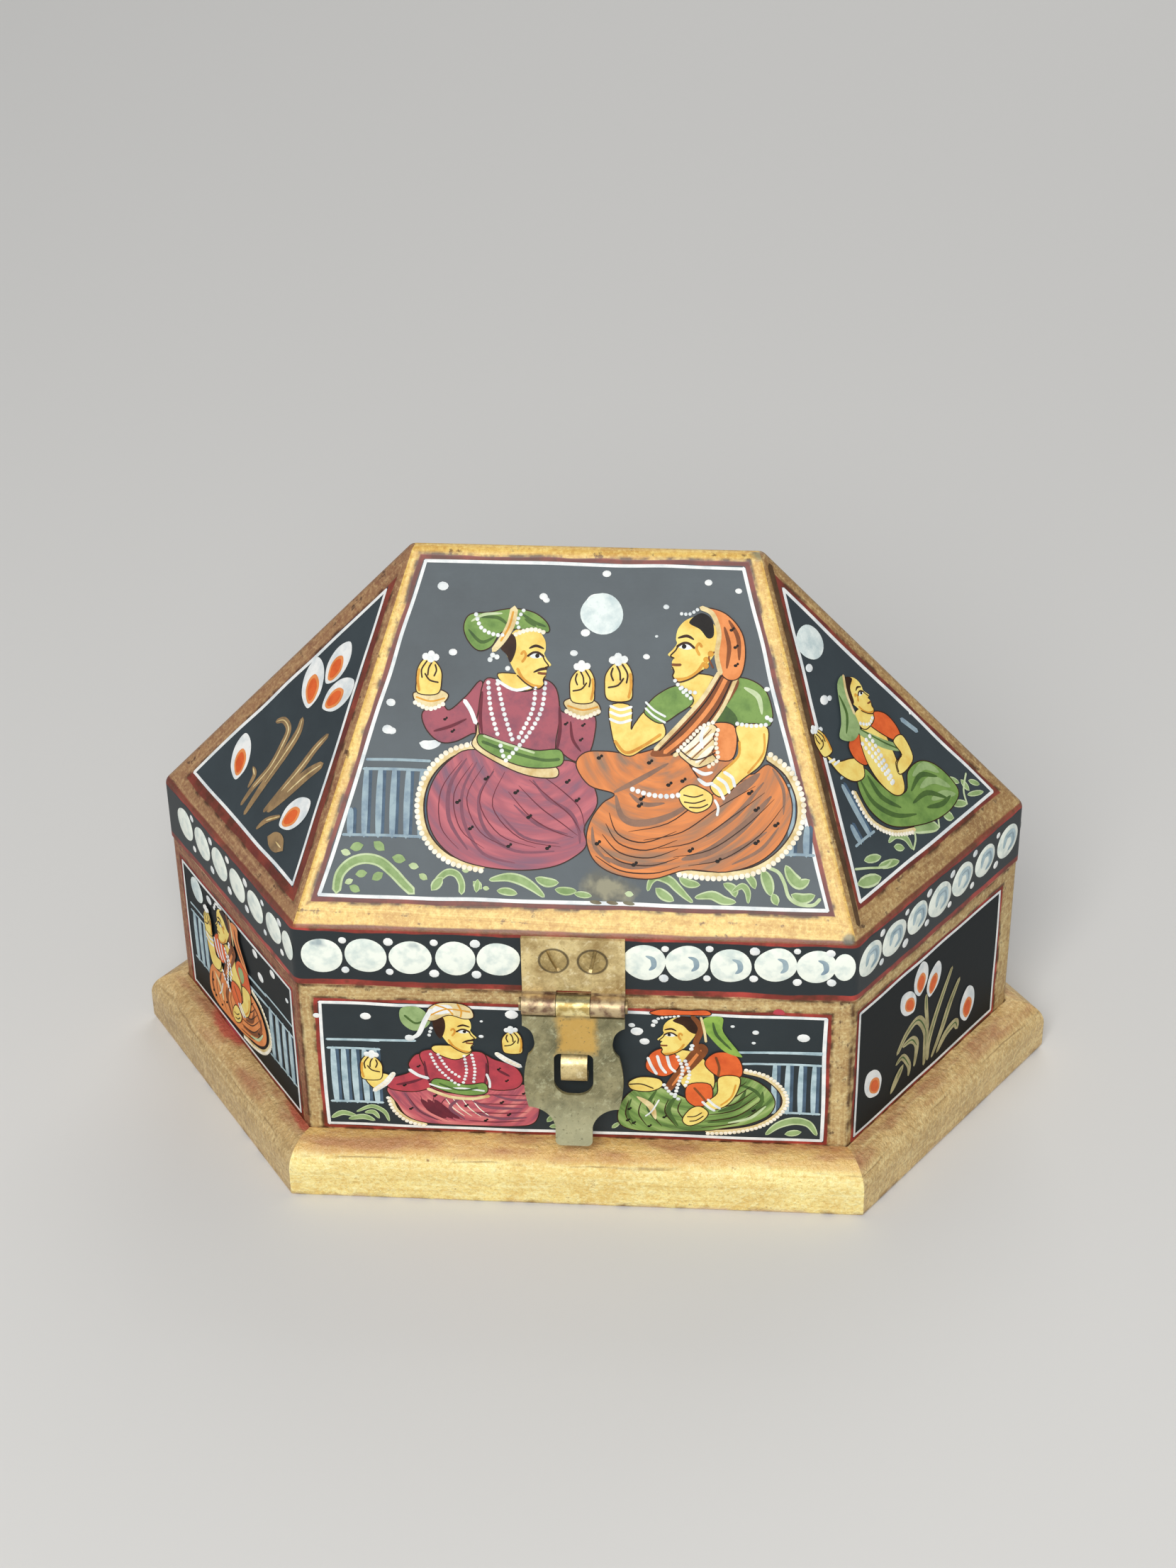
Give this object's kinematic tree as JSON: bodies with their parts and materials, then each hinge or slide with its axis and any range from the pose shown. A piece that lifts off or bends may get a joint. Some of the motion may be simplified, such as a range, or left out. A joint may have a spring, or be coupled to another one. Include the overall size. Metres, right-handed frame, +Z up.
{
  "type": "jewelry box",
  "caption": "Elongated hexagonal wooden box with a hinged hipped lid, painted panels, gilt plinth and a brass hasp over a staple.",
  "frame": {"origin": "on the surface the box stands on, under the middle of the box", "axes": "+X to the right along the long way, +Y to the back where the hinges are, +Z up; the hasp faces -Y"},
  "size_m": [0.231, 0.1324, 0.1451],
  "materials": {
    "painted_panel": "black gouache panels with gold edges, thin varnish",
    "gilt_moulding": "aged gold paint on turned-down moulding",
    "bare_wood": "bare planed wood",
    "aged_brass": "greenish aged brass, rubbed at the edges",
    "hinge_brass": "dull brass"
  },
  "bodies": {
    "base": {"base_wall_back": "painted_panel", "base_wall_front": "painted_panel", "base_wall_left_back": "painted_panel", "base_wall_left_front": "painted_panel", "base_wall_right_back": "painted_panel", "base_wall_right_front": "painted_panel", "bottom_board": "bare_wood", "hasp_staple": "aged_brass", "hinge_base_screws": "hinge_brass", "hinge_left_base_leaf": "hinge_brass", "hinge_left_pin": "hinge_brass", "hinge_right_base_leaf": "hinge_brass", "hinge_right_pin": "hinge_brass", "plinth_back": "gilt_moulding", "plinth_front": "gilt_moulding", "plinth_left_back": "gilt_moulding", "plinth_left_front": "gilt_moulding", "plinth_right_back": "gilt_moulding", "plinth_right_front": "gilt_moulding"},
    "lid": {"hasp_pin": "aged_brass", "hasp_plate": "aged_brass", "hasp_screws": "aged_brass", "hinge_left_lid_leaf": "hinge_brass", "hinge_lid_screws": "hinge_brass", "hinge_right_lid_leaf": "hinge_brass", "lid_band_back": "painted_panel", "lid_band_front": "painted_panel", "lid_band_left_back": "painted_panel", "lid_band_left_front": "painted_panel", "lid_band_right_back": "painted_panel", "lid_band_right_front": "painted_panel", "roof_back": "painted_panel", "roof_front": "painted_panel", "roof_left_back": "painted_panel", "roof_left_front": "painted_panel", "roof_right_back": "painted_panel", "roof_right_front": "painted_panel"},
    "hasp_leaf": {"hasp_leaf": "aged_brass"}
  },
  "joints": [
    {"name": "lid_hinge", "type": "hinge", "parent": "base", "child": "lid", "pos_m": [0, 0.057, 0.0596], "axis": [-1, 0, 0], "range_deg": [0, 104]},
    {"name": "hasp_swing", "type": "hinge", "parent": "lid", "child": "hasp_leaf", "pos_m": [0, -0.0608, 0.058], "axis": [-1, 0, 0], "range_deg": [-7.2, 170]}
  ]
}
